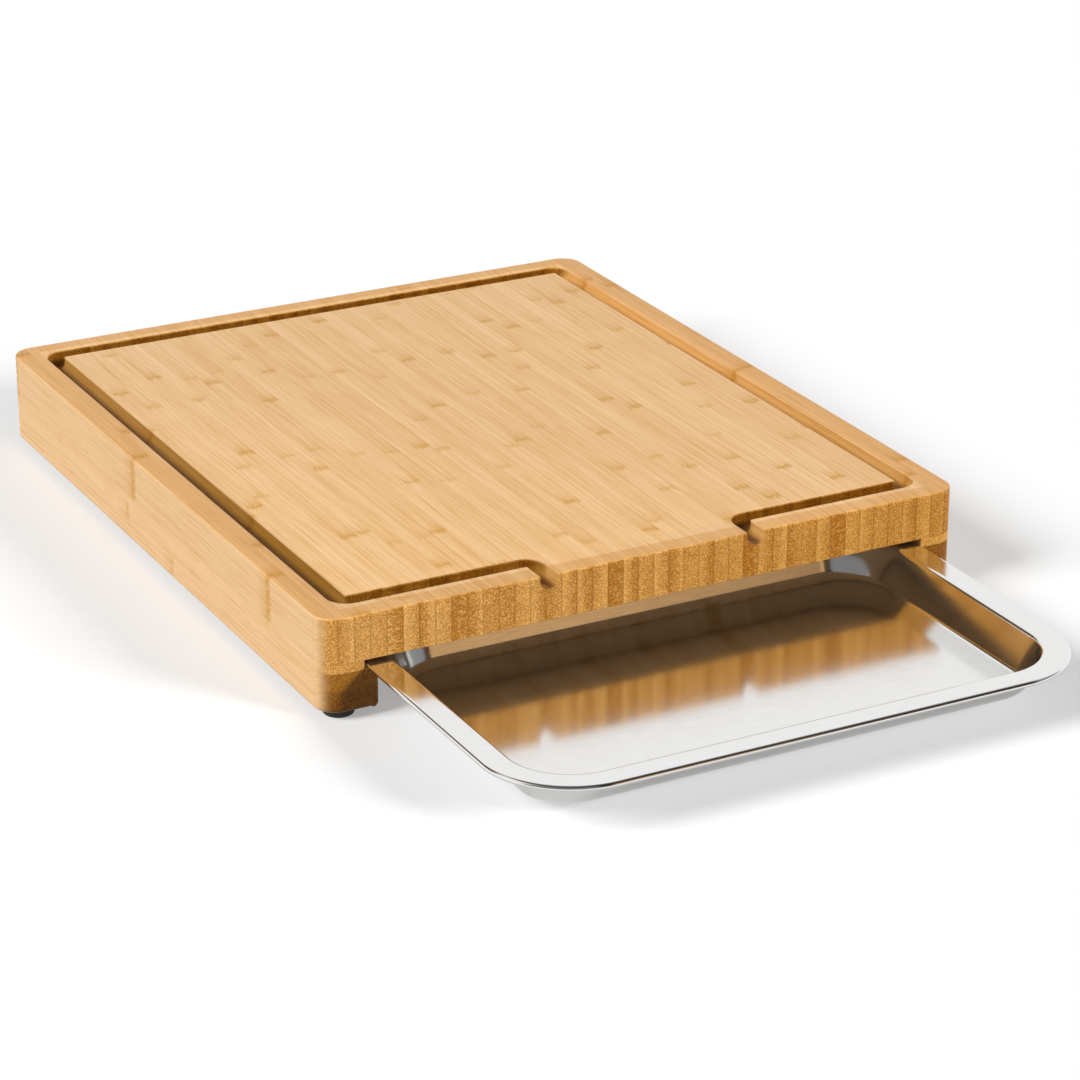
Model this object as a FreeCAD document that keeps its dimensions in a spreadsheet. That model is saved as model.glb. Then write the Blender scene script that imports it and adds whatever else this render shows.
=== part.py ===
import FreeCAD, Part

import os

import Sketcher
from FreeCAD import Vector

# Bamboo carving board with two pressed steel drawer trays.
#
# The board is a glued block.  A thick panel of upright strips carries the
# cutting surface and the routed juice groove.  Under its sides run thin
# spacers, which leave a slot open at the front and at the back.  Two rail
# laminae under each spacer stand further in than the spacer does, so their
# upper faces are ledges.  The rim of each tray rides on those ledges and its
# basin hangs between the rails.  An upright divider across the middle stops
# both trays, one drawn out to the front and one to the back.  Juice leaves
# the groove through two spouts in the front face and drops into the front
# tray, which is drawn out; the rear tray is home.
#
# Frame: X to the right, Y to the back, Z up, seen from the front.  The
# origin is on the table, under the middle of the board with its front tray
# drawn out by tray_extension.

DIMENSIONS = (
    # the glued block
    ("board_width", 300.0, "block, left to right"),
    ("board_depth", 350.0, "block, front to back"),
    ("board_corner_radius", 10.0, "upright corners of the block"),
    ("top_edge_chamfer", 0.8, "eased edge round the cutting surface"),
    ("bottom_edge_chamfer", 1.6, "broken lower edges of the rails"),
    ("panel_thickness", 20.0, "panel of upright strips"),
    ("spacer_thickness", 4.0, "spacer, height of the slot"),
    ("rail_upper_thickness", 7.5, "lamina whose top is the ledge"),
    ("rail_lower_thickness", 10.0, "lamina that carries the feet"),
    ("spacer_width", 18.5, "spacer along each side"),
    ("ledge_width", 5.8, "rail beyond the spacer"),
    ("divider_thickness", 6.0, "upright divider between the trays"),
    # the juice groove, routed with a round-nosed cutter
    ("groove_width", 8.0, "width at the cutting surface"),
    ("groove_depth", 6.4, "depth at the middle of the groove"),
    ("groove_inset", 15.75, "block face to middle of the groove"),
    ("groove_inner_radius", 1.0, "inner corner of each turn"),
    ("groove_overrun", 2.0, "cutter travel past the front and top"),
    ("spout_spacing", 97.4, "middle to middle of the two spouts"),
    # rubber feet, each held by a screw from below
    ("foot_diameter", 13.0, "rubber foot"),
    ("foot_height", 3.5, "rubber foot"),
    ("foot_inset_side", 11.0, "side of the block to middle of the foot"),
    ("foot_inset_end", 9.5, "front or back to middle of the foot"),
    ("foot_recess_diameter", 6.8, "counterbore for the head of the screw"),
    ("foot_recess_depth", 1.8, "counterbore for the head of the screw"),
    # the pressed steel trays
    ("tray_extension", 137.0, "how far the front tray is drawn out"),
    ("tray_side_clearance", 1.0, "rim to each side spacer"),
    ("tray_running_clearance", 0.3, "rim lip to the ledge"),
    ("tray_end_clearance", 1.0, "rim to the divider, tray home"),
    ("tray_depth", 17.0, "top of the rim to underside of the floor"),
    ("tray_sheet", 0.8, "thickness of the steel sheet"),
    ("tray_corner_radius", 38.0, "rim, in plan"),
    ("rim_width", 10.3, "edge of the rim to the top of the wall"),
    ("lip_height", 2.1, "turned-down edge of the rim"),
    ("lip_chamfer", 0.7, "outer edge of the rim, over the lip"),
    ("wall_draft", 29.0, "wall from upright, in degrees"),
    ("rim_bend_radius", 1.8, "inside of the bend, rim to wall"),
    ("floor_bend_radius", 2.5, "inside of the bend, wall to floor"),
    ("floor_lap", 4.0, "pressed edge strip beyond the floor bend"),
)

TOLERANCE = 1e-4

doc = FreeCAD.newDocument("CarvingBoard")
sheet = doc.addObject("Spreadsheet::Sheet", "Size")
for row, (alias, size, note) in enumerate(DIMENSIONS, start=1):
    sheet.set("A%d" % row, note)
    sheet.set("B%d" % row, str(size))
    sheet.setAlias("B%d" % row, alias)
doc.recompute()

# Levels above the table and the front face, from the sizes that make them.
RAIL_LOWER_Z = "Size.foot_height"
RAIL_UPPER_Z = "(" + RAIL_LOWER_Z + " + Size.rail_lower_thickness)"
LEDGE_Z = "(" + RAIL_UPPER_Z + " + Size.rail_upper_thickness)"
PANEL_Z = "(" + LEDGE_Z + " + Size.spacer_thickness)"
FRONT_Y = "((Size.tray_extension - Size.board_depth) / 2)"
RIM_TOP_Z = "(" + LEDGE_Z + " + Size.tray_running_clearance + Size.lip_height)"

# Widths and lengths that follow from the slot.
RAIL_WIDTH = "(Size.spacer_width + Size.ledge_width)"
TRAY_WIDTH = "(Size.board_width - 2 * Size.spacer_width - 2 * Size.tray_side_clearance)"
TRAY_LENGTH = "((Size.board_depth - Size.divider_thickness) / 2 - Size.tray_end_clearance)"


def size_of(expression):
    """Number that an expression on the size sheet stands for."""
    return float(sheet.evalExpression(expression))


def new_body(name, x="0", y="0", z="0"):
    """Body called name whose own origin lies at x, y, z (expressions)."""
    body = doc.addObject("PartDesign::Body", name)
    body.Label = name
    body.setExpression(".Placement.Base.x", x)
    body.setExpression(".Placement.Base.y", y)
    body.setExpression(".Placement.Base.z", z)
    return body


def new_sketch(body, name, role, offset="0"):
    """Sketch on one origin plane of its body, moved along the plane's normal."""
    plane = [item for item in body.Origin.OriginFeatures if item.Role == role][0]
    sketch = body.newObject("Sketcher::SketchObject", name)
    sketch.AttachmentSupport = [(plane, "")]
    sketch.MapMode = "FlatFace"
    sketch.setExpression(".AttachmentOffset.Base.z", offset)
    return sketch


def bind(sketch, constraint, name, expression):
    """Add a dimension to a sketch, named and driven by an expression."""
    index = sketch.addConstraint(constraint)
    sketch.renameConstraint(index, name)
    sketch.setExpression("Constraints." + name, expression)


def pin(sketch, geometry, point, name, x, y):
    """Hold one end of a sketch line at x, y (expressions)."""
    for letter, kind, axis, expression in (("x", "DistanceX", -2, x), ("y", "DistanceY", -1, y)):
        if expression == "0":
            sketch.addConstraint(Sketcher.Constraint("PointOnObject", geometry, point, axis))
            continue
        distance = Sketcher.Constraint(kind, -1, 1, geometry, point, size_of(expression))
        bind(sketch, distance, name + "_" + letter, expression)


def outline(sketch, corners):
    """Closed outline of straight lines whose corners are pairs of expressions."""
    points = [Vector(size_of(x), size_of(y), 0) for x, y in corners]
    count = len(points)
    for index in range(count):
        sketch.addGeometry(Part.LineSegment(points[index], points[(index + 1) % count]), False)
    for index in range(count):
        following = (index + 1) % count
        sketch.addConstraint(Sketcher.Constraint("Coincident", index, 2, following, 1))
    for index, (x, y) in enumerate(corners):
        pin(sketch, index, 1, "corner%d" % index, x, y)


def rectangle(sketch, x, y, width, depth):
    """Rectangle from its low corner x, y and its width and depth."""
    far_x = x + " + " + width
    far_y = y + " + " + depth
    outline(sketch, ((x, y), (far_x, y), (far_x, far_y), (x, far_y)))


def rounded_route(sketch, corners, radius, closed):
    """Route of level and upright lines joined by tangent arcs of one radius.

    The corners are pairs of expressions.  Each line is held at its own level
    and each arc by its radius, so the route follows the sizes.
    """
    points = [Vector(size_of(x), size_of(y), 0) for x, y in corners]
    bend = size_of(radius)
    count = len(points)
    legs = count if closed else count - 1
    headings = [(points[(i + 1) % count] - points[i]).normalize() for i in range(legs)]
    for leg in range(legs):
        start = points[leg]
        end = points[(leg + 1) % count]
        if closed or leg > 0:
            start = start + headings[leg] * bend
        if closed or leg < legs - 1:
            end = end - headings[leg] * bend
        sketch.addGeometry(Part.LineSegment(start, end), False)
    for leg in range(legs):
        level = abs(headings[leg].y) < TOLERANCE
        name = "leg%d" % leg
        if level:
            sketch.addConstraint(Sketcher.Constraint("Horizontal", leg))
            held = ("DistanceY", corners[leg][1], points[leg].y)
            axis = -1
        else:
            sketch.addConstraint(Sketcher.Constraint("Vertical", leg))
            held = ("DistanceX", corners[leg][0], points[leg].x)
            axis = -2
        if held[1] == "0":
            sketch.addConstraint(Sketcher.Constraint("PointOnObject", leg, 1, axis))
        else:
            bind(sketch, Sketcher.Constraint(held[0], -1, 1, leg, 1, held[2]), name, held[1])
    turns = range(count) if closed else range(1, count - 1)
    for turn in turns:
        before = headings[(turn - 1) % legs]
        after = headings[turn % legs]
        centre = points[turn] + (after - before) * bend
        first = points[turn] - before * bend - centre
        last = points[turn] + after * bend - centre
        leftward = before.cross(after).z > 0
        begin, finish = (first, last) if leftward else (last, first)
        start_angle = Vector(1, 0, 0).getAngle(begin) * (1 if begin.y >= -TOLERANCE else -1)
        end_angle = Vector(1, 0, 0).getAngle(finish) * (1 if finish.y >= -TOLERANCE else -1)
        circle = Part.Circle(centre, Vector(0, 0, 1), bend)
        arc = sketch.addGeometry(Part.ArcOfCircle(circle, start_angle, end_angle), False)
        near, far = (1, 2) if leftward else (2, 1)
        sketch.addConstraint(Sketcher.Constraint("Tangent", (turn - 1) % legs, 2, arc, near))
        sketch.addConstraint(Sketcher.Constraint("Tangent", arc, far, turn % legs, 1))
        bind(sketch, Sketcher.Constraint("Radius", arc, bend), "bend%d" % turn, radius)
    if not closed:
        upright = abs(headings[0].x) < TOLERANCE
        kind = "DistanceY" if upright else "DistanceX"
        column = 1 if upright else 0
        first = Sketcher.Constraint(kind, -1, 1, 0, 1, points[0][column])
        bind(sketch, first, "route_start", corners[0][column])
        last = Sketcher.Constraint(kind, -1, 1, legs - 1, 2, points[-1][column])
        bind(sketch, last, "route_end", corners[-1][column])


def pad(body, name, sketch, length, inward=False):
    """Pad a sketch by a length, along its normal or against it."""
    feature = body.newObject("PartDesign::Pad", name)
    feature.Profile = sketch
    feature.setExpression("Length", length)
    feature.Reversed = inward
    doc.recompute()
    return feature


def chosen_edges(feature, wanted):
    """Names of the edges of a feature whose every sampled point is wanted."""
    names = []
    for index, edge in enumerate(feature.Shape.Edges, start=1):
        if edge.Degenerated:
            continue
        if all(wanted(point) for point in edge.discretize(Number=5)):
            names.append("Edge%d" % index)
    if not names:
        raise RuntimeError("no edge to round on " + feature.Label)
    return names


def fillet(body, name, base, wanted, radius):
    """Round the wanted edges of a feature by a radius (expression)."""
    feature = body.newObject("PartDesign::Fillet", name)
    feature.Base = (base, chosen_edges(base, wanted))
    feature.setExpression("Radius", radius)
    doc.recompute()
    return feature


def chamfer(body, name, base, wanted, size):
    """Break the wanted edges of a feature at 45 degrees by a size (expression)."""
    feature = body.newObject("PartDesign::Chamfer", name)
    feature.Base = (base, chosen_edges(base, wanted))
    feature.setExpression("Size", size)
    doc.recompute()
    return feature


def near(left, right):
    """True where two coordinates are the same place."""
    return abs(left - right) < TOLERANCE


# ---------------------------------------------------------------------------
# Panel of upright strips, with the juice groove and its two spouts
# ---------------------------------------------------------------------------
def make_panel():
    """Panel with rounded corners, eased top edge and the routed groove."""
    body = new_body("top_panel", y=FRONT_Y, z=PANEL_Z)
    half_width = size_of("Size.board_width / 2")
    depth = size_of("Size.board_depth")
    top = size_of("Size.panel_thickness")

    plan = new_sketch(body, "panel_outline", "XY_Plane")
    rectangle(plan, "-Size.board_width / 2", "0", "Size.board_width", "Size.board_depth")
    slab = pad(body, "panel_slab", plan, "Size.panel_thickness")

    def upright_corner(point):
        return near(abs(point.x), half_width) and (near(point.y, 0) or near(point.y, depth))

    corners = fillet(body, "panel_corners", slab, upright_corner, "Size.board_corner_radius")

    def top_rim(point):
        return near(point.z, top)

    eased = chamfer(body, "panel_top_edge", corners, top_rim, "Size.top_edge_chamfer")

    # The cutter starts in front of the left spout, turns left along the
    # front, goes round three sides and comes out through the right spout.
    start_y = "-Size.groove_overrun"
    front_y = "Size.groove_inset"
    rear_y = "Size.board_depth - Size.groove_inset"
    side_x = "Size.board_width / 2 - Size.groove_inset"
    spout_x = "Size.spout_spacing / 2"
    route = (
        ("-" + spout_x, start_y),
        ("-" + spout_x, front_y),
        ("-(" + side_x + ")", front_y),
        ("-(" + side_x + ")", rear_y),
        (side_x, rear_y),
        (side_x, front_y),
        (spout_x, front_y),
        (spout_x, start_y),
    )
    centre_line = new_sketch(body, "groove_route", "XY_Plane", "Size.panel_thickness")
    bend = "Size.groove_inner_radius + Size.groove_width / 2"
    rounded_route(centre_line, route, bend, closed=False)

    # U section of the round-nosed cutter, on the route's first end.
    section = new_sketch(body, "groove_section", "XZ_Plane", "Size.groove_overrun")
    middle = size_of(spout_x)
    radius = size_of("Size.groove_width / 2")
    spring = top - size_of("Size.groove_depth") + radius
    above = top + size_of("Size.groove_overrun")
    left = -middle - radius
    right = -middle + radius
    section.addGeometry(Part.LineSegment(Vector(right, spring, 0), Vector(right, above, 0)), False)
    section.addGeometry(Part.LineSegment(Vector(right, above, 0), Vector(left, above, 0)), False)
    section.addGeometry(Part.LineSegment(Vector(left, above, 0), Vector(left, spring, 0)), False)
    half_turn = Part.Arc(
        Vector(left, spring, 0),
        Vector(-middle, spring - radius, 0),
        Vector(right, spring, 0),
    )
    section.addGeometry(half_turn, False)
    for index in range(3):
        section.addConstraint(Sketcher.Constraint("Coincident", index, 2, index + 1, 1))
    section.addConstraint(Sketcher.Constraint("Coincident", 3, 2, 0, 1))
    nose_z = "Size.panel_thickness - Size.groove_depth + Size.groove_width / 2"
    rim_z = "Size.panel_thickness + Size.groove_overrun"
    pin(section, 0, 1, "nose_right", "-" + spout_x + " + Size.groove_width / 2", nose_z)
    pin(section, 1, 1, "rim_right", "-" + spout_x + " + Size.groove_width / 2", rim_z)
    pin(section, 2, 1, "rim_left", "-" + spout_x + " - Size.groove_width / 2", rim_z)
    pin(section, 3, 1, "nose_left", "-" + spout_x + " - Size.groove_width / 2", nose_z)
    bind(section, Sketcher.Constraint("DistanceY", -1, 1, 3, 3, spring), "nose_level", nose_z)
    doc.recompute()

    groove = body.newObject("PartDesign::SubtractivePipe", "juice_groove")
    groove.Profile = section
    groove.Spine = (centre_line, ["Edge%d" % (i + 1) for i in range(len(centre_line.Shape.Edges))])
    groove.Mode = "Standard"
    doc.recompute()
    if groove.Shape.Volume >= eased.Shape.Volume:
        raise RuntimeError("the juice groove cuts nothing")
    return body


# ---------------------------------------------------------------------------
# Spacers, rails and the divider
# ---------------------------------------------------------------------------
def make_side_strip(name, side, width, thickness, level):
    """Strip along one side of the block, front to back, side -1 or +1.

    Its two outer corners follow the corners of the block.
    """
    low_x = "-Size.board_width / 2"
    if side > 0:
        low_x = "Size.board_width / 2 - " + width
    body = new_body(name, x=low_x, y=FRONT_Y, z=level)
    plan = new_sketch(body, name + "_outline", "XY_Plane")
    rectangle(plan, "0", "0", width, "Size.board_depth")
    strip = pad(body, name + "_strip", plan, thickness)
    outer_x = 0 if side < 0 else size_of(width)

    def outer_upright(point):
        ends = near(point.y, 0) or near(point.y, size_of("Size.board_depth"))
        return near(point.x, outer_x) and ends

    fillet(body, name + "_corners", strip, outer_upright, "Size.board_corner_radius")
    return body


def break_lower_edges(body):
    """Chamfer the lower edges of a rail."""

    def lower_edge(point):
        return near(point.z, 0)

    name = body.Label + "_lower_edges"
    chamfer(body, name, body.Tip, lower_edge, "Size.bottom_edge_chamfer")


def make_divider():
    """Upright board across the middle, between the rails, that stops the trays."""
    width = "(Size.board_width - 2 * " + RAIL_WIDTH + ")"
    low_y = FRONT_Y + " + (Size.board_depth - Size.divider_thickness) / 2"
    body = new_body("centre_divider", x="-" + width + " / 2", y=low_y, z=RAIL_LOWER_Z)
    plan = new_sketch(body, "divider_outline", "XY_Plane")
    rectangle(plan, "0", "0", width, "Size.divider_thickness")
    pad(body, "divider_board", plan, PANEL_Z + " - " + RAIL_LOWER_Z)
    return body


def make_runners():
    """Spacer and both rail laminae on each side of the slot."""
    made = []
    for side, word in ((-1, "left"), (1, "right")):
        spacer = make_side_strip(
            word + "_spacer", side, "Size.spacer_width", "Size.spacer_thickness", LEDGE_Z
        )
        upper = make_side_strip(
            word + "_rail_upper", side, RAIL_WIDTH, "Size.rail_upper_thickness", RAIL_UPPER_Z
        )
        lower = make_side_strip(
            word + "_rail_lower", side, RAIL_WIDTH, "Size.rail_lower_thickness", RAIL_LOWER_Z
        )
        break_lower_edges(lower)
        made += [spacer, upper, lower]
    return made


# ---------------------------------------------------------------------------
# Feet
# ---------------------------------------------------------------------------
def disc(body, name, diameter):
    """Sketch of one circle about the body's own Z axis."""
    plan = new_sketch(body, name + "_outline", "XY_Plane")
    radius = diameter + " / 2"
    plan.addGeometry(Part.Circle(Vector(0, 0, 0), Vector(0, 0, 1), size_of(radius)), False)
    plan.addConstraint(Sketcher.Constraint("Coincident", 0, 3, -1, 1))
    bind(plan, Sketcher.Constraint("Radius", 0, size_of(radius)), "rim", radius)
    return plan


def make_foot(name, x, y):
    """Round rubber foot, recessed from below for the head of its screw."""
    body = new_body(name, x=x, y=y)
    stud = pad(body, name + "_stud", disc(body, name + "_stud", "Size.foot_diameter"), "Size.foot_height")
    recess = body.newObject("PartDesign::Pocket", name + "_recess")
    recess.Profile = disc(body, name + "_recess", "Size.foot_recess_diameter")
    recess.setExpression("Length", "Size.foot_recess_depth")
    recess.Reversed = True
    doc.recompute()
    if recess.Shape.Volume >= stud.Shape.Volume:
        raise RuntimeError("the recess misses " + name)
    return body


def make_feet():
    """A foot near each corner of the block."""
    made = []
    side_x = "(Size.board_width / 2 - Size.foot_inset_side)"
    front_y = FRONT_Y + " + Size.foot_inset_end"
    rear_y = FRONT_Y + " + Size.board_depth - Size.foot_inset_end"
    for end, middle_y in (("front", front_y), ("rear", rear_y)):
        for side, middle_x in (("left", "-" + side_x), ("right", side_x)):
            made.append(make_foot(end + "_" + side + "_foot", middle_x, middle_y))
    return made


# ---------------------------------------------------------------------------
# Pressed steel trays
# ---------------------------------------------------------------------------
def inset_from_rim(point):
    """How far a point lies inside the edge of the rim, seen from above."""
    half_width = size_of(TRAY_WIDTH) / 2
    half_length = size_of(TRAY_LENGTH) / 2
    radius = size_of("Size.tray_corner_radius")
    over_x = abs(point.x) - (half_width - radius)
    over_y = abs(point.y - half_length) - (half_length - radius)
    beyond = Vector(max(over_x, 0), max(over_y, 0), 0).Length
    return radius - beyond - min(max(over_x, over_y), 0)


def make_tray(name, low_y):
    """Tray swept from the section of its pressed sheet, round the rim.

    The section is the lip, the rim, the drafted wall and the edge of the
    floor.  It travels once round the rim, the floor closes the basin, and
    then the folds round the rim and round the floor are bent on their open
    side and the outer edge over the lip is broken.  low_y is where the front
    of the rim lies.
    """
    body = new_body(name, y=low_y, z=RIM_TOP_Z)
    half_width = TRAY_WIDTH + " / 2"
    rim_route = new_sketch(body, "rim_route", "XY_Plane")
    corners = (
        ("-" + half_width, "0"),
        (half_width, "0"),
        (half_width, TRAY_LENGTH),
        ("-" + half_width, TRAY_LENGTH),
    )
    rounded_route(rim_route, corners, "Size.tray_corner_radius", closed=True)

    # Section on the first end of the front leg, inward against height.
    first_x = "-(" + half_width + " - Size.tray_corner_radius)"
    section = new_sketch(body, "sheet_section", "YZ_Plane", first_x)
    fold = "Size.tray_sheet * tan((90 - Size.wall_draft) / 2 * 1 deg)"
    drop = "(Size.tray_depth - Size.tray_sheet)"
    foot = "(Size.rim_width + " + drop + " * tan(Size.wall_draft * 1 deg))"
    lap = "(" + foot + " + Size.floor_lap)"
    outline(
        section,
        (
            ("0", "-Size.lip_height"),
            ("Size.tray_sheet", "-Size.lip_height"),
            ("Size.tray_sheet", "-Size.tray_sheet"),
            ("Size.rim_width - " + fold, "-Size.tray_sheet"),
            (foot + " - " + fold, "-Size.tray_depth"),
            (lap, "-Size.tray_depth"),
            (lap, "-" + drop),
            (foot, "-" + drop),
            ("Size.rim_width", "0"),
            ("0", "0"),
        ),
    )
    doc.recompute()
    wall = body.newObject("PartDesign::AdditivePipe", "formed_sheet")
    wall.Profile = section
    count = len(rim_route.Shape.Edges)
    wall.Spine = (rim_route, ["Edge%d" % (i + 1) for i in range(count)])
    wall.Mode = "Standard"
    doc.recompute()

    floor_plan = new_sketch(body, "floor_outline", "XY_Plane", "-Size.tray_depth")
    inset = "(" + foot + " + Size.floor_lap / 2)"
    floor_corners = (
        ("-(" + half_width + " - " + inset + ")", inset),
        (half_width + " - " + inset, inset),
        (half_width + " - " + inset, TRAY_LENGTH + " - " + inset),
        ("-(" + half_width + " - " + inset + ")", TRAY_LENGTH + " - " + inset),
    )
    rounded_route(floor_plan, floor_corners, "Size.tray_corner_radius - " + inset, closed=True)
    floor = pad(body, "floor", floor_plan, "Size.tray_sheet")

    base = floor
    foot_at = size_of(foot)
    floor_top = size_of("-" + drop)
    rim_at = size_of("Size.rim_width")
    bends = (
        ("rim_bend", rim_at, 0, "Size.rim_bend_radius + Size.tray_sheet"),
        ("floor_bend", foot_at, floor_top, "Size.floor_bend_radius"),
    )
    for bend, reach, height, radius in bends:

        def on_fold(point, reach=reach, height=height):
            return near(point.z, height) and near(inset_from_rim(point), reach)

        base = fillet(body, bend, base, on_fold, radius)

    def rim_edge(point):
        return near(point.z, 0) and near(inset_from_rim(point), 0)

    chamfer(body, "lip_edge", base, rim_edge, "Size.lip_chamfer")
    return body


def make_trays():
    """Front tray, drawn out, and rear tray, home and flush with the back."""
    front = make_tray("front_tray", FRONT_Y + " - Size.tray_extension")
    rear = make_tray("rear_tray", FRONT_Y + " + Size.board_depth - " + TRAY_LENGTH)
    return [front, rear]


pieces = [make_panel()] + make_runners() + [make_divider()] + make_feet() + make_trays()
doc.recompute()

# ---------------------------------------------------------------------------
# Check the document, then write each piece
# ---------------------------------------------------------------------------
for item in doc.Objects:
    if "Invalid" in item.State or "Error" in item.State:
        raise RuntimeError(item.Label + ": " + item.getStatusString())

for piece in pieces:
    shape = piece.Shape
    if shape.isNull() or not shape.isValid() or len(shape.Solids) != 1:
        raise RuntimeError("bad solid: " + piece.Label)

os.makedirs("parts", exist_ok=True)
for piece in pieces:
    piece.Shape.exportStep("parts/" + piece.Label + ".step")
    box = piece.Shape.BoundBox
    low = (round(box.XMin, 2), round(box.YMin, 2), round(box.ZMin, 2))
    high = (round(box.XMax, 2), round(box.YMax, 2), round(box.ZMax, 2))
    print(piece.Label, round(piece.Shape.Volume, 1), low, high)
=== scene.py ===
"""Bamboo carving board with two pressed steel drawer trays: visible surfaces and finishes.

Sizes are in millimetres in the part's frame: X right, Y back, Z up, seen from the front,
with the front tray drawn out as at rest.  Meshes are written in metres.
"""
import logging
import math
from dataclasses import dataclass, field, replace
from enum import Enum
from typing import Optional, Sequence, Union

import bmesh
import bpy
import numpy as np
from mathutils import Matrix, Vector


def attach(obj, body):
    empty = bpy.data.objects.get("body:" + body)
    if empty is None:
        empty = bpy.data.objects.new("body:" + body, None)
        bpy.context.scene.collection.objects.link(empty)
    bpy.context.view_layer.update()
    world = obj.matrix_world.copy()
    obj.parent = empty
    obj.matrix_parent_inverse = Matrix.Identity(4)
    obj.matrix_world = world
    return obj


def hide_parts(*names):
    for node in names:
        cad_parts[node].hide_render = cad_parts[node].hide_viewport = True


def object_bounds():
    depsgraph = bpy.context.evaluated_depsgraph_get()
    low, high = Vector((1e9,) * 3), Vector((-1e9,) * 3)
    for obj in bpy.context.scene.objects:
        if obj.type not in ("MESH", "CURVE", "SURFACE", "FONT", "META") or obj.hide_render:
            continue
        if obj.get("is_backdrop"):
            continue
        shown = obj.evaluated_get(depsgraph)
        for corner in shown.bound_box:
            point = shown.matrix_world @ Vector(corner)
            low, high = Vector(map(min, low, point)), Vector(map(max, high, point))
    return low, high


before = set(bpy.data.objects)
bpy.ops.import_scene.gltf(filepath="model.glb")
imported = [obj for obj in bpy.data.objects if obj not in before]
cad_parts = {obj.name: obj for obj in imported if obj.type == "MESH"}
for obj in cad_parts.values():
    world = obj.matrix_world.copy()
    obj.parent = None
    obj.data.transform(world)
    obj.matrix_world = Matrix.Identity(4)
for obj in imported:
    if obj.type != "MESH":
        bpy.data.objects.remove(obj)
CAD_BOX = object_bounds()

log = logging.getLogger("carving_board")

MM = 0.001
PER_METRE = 1000.0
# points this close are welded and edges this short dissolved, in metres
WELD = 2e-6
SLIVER = 1e-7
# heights this close are equal, in millimetres
SLACK = 1e-7
QUAD = 4
WHITE = (1.0, 1.0, 1.0)
Array = np.ndarray
Socket = bpy.types.NodeSocket
Sockets = bpy.types.bpy_prop_collection
Node = bpy.types.Node
Piece = bpy.types.Object
Finish = bpy.types.Material
Triple = tuple[float, float, float]
Value = Union[float, Sequence[float], Socket]


# ---- Sizes ----
@dataclass(frozen=True)
class Block:
    """The glued block: its faces and layers, and how far the front tray is drawn out."""

    half_width: float = 150.0
    front: float = -106.5
    back: float = 243.5
    top: float = 45.0
    panel_floor: float = 25.0
    ledge: float = 21.0
    rail_joint: float = 13.5
    rail_floor: float = 3.5
    corner: float = 10.0
    edge: float = 1.0
    lower_edge: float = 2.2
    spacer_width: float = 18.5
    rail_width: float = 24.3
    strips: int = 42
    tray_out: float = 137.0


class Side(Enum):
    """Which side of the block a runner is on; the value is the sign of its X."""

    LEFT = -1.0
    RIGHT = 1.0


# ---- Curves in the plane ----
@dataclass
class Curve:
    """Points along a line in a plane, with the unit normal on its left at each."""

    points: Array
    normals: Array

    def offset(self, distance: float) -> Array:
        """Points moved to the left of the line by a distance."""
        return self.points + self.normals * distance

    def carry(self, section: Array) -> Array:
        """Section carried along the line, level: points + normals * inset, at the height.

        Args:
            section: rows (inset, height), or such rows for each point of the line.

        Returns:
            Grid of points of the line by points of the section by 3.
        """
        plan = self.points[:, None] + self.normals[:, None] * section[..., :1]
        return np.concatenate([plan, np.broadcast_to(section[..., 1:], plan.shape[:2] + (1,))], -1)


def rounded(corners: Sequence[Sequence[float]], radii: Union[float, Sequence[float]],
            closed: bool, steps: int) -> Curve:
    """Straight runs joined by tangent arcs.

    The run before a corner ends at corner - before * t, where t = r * tan(turn / 2).  The
    arc's centre lies r from there, square to the run, on the side that it turns to.  The
    normals are swept evenly from one run's normal to the next one's.

    Args:
        corners: corner points in order.
        radii: one radius, or one for each corner.
        closed: whether the last corner runs back to the first.
        steps: segments in each arc.

    Returns:
        The curve, with two points for each end of a straight run and the arcs between.
    """
    spots = np.asarray(corners, float)
    count = len(spots)
    bends = np.broadcast_to(np.asarray(radii, float), (count,))
    runs = np.roll(spots, -1, axis=0) - spots
    headings = runs / np.linalg.norm(runs, axis=1, keepdims=True)
    before = np.roll(headings, 1, axis=0)
    turn = np.arctan2(before[:, 0] * headings[:, 1] - before[:, 1] * headings[:, 0],
                      (before * headings).sum(1))
    share = np.linspace(0.0, 1.0, steps + 1)
    start = np.arctan2(before[:, 0], -before[:, 1])
    angle = start[:, None] + turn[:, None] * share
    normal = np.stack([np.cos(angle), np.sin(angle)], -1)
    reach = bends * np.tan(np.abs(turn) / 2)
    side = np.sign(turn)
    first = spots - before * reach[:, None]
    centre = first + normal[:, 0] * (bends * side)[:, None]
    arc = centre[:, None] - normal * (bends * side)[:, None, None]
    if not closed:
        ends = np.stack([-headings[:, 1], headings[:, 0]], -1)
        points = np.concatenate([spots[:1], arc[1:-1].reshape(-1, 2), spots[-1:]])
        normals = np.concatenate([ends[:1], normal[1:-1].reshape(-1, 2), ends[-2:-1]])
        return Curve(points, normals)
    return Curve(arc.reshape(-1, 2), normal.reshape(-1, 2))


def fillet(centre: Sequence[float], radius: float, start: float, end: float, steps: int) -> Array:
    """Arc about a centre from one angle to another, in degrees, ends included."""
    angle = np.radians(np.linspace(start, end, steps + 1))
    return np.asarray(centre) + radius * np.stack([np.cos(angle), np.sin(angle)], -1)


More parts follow.
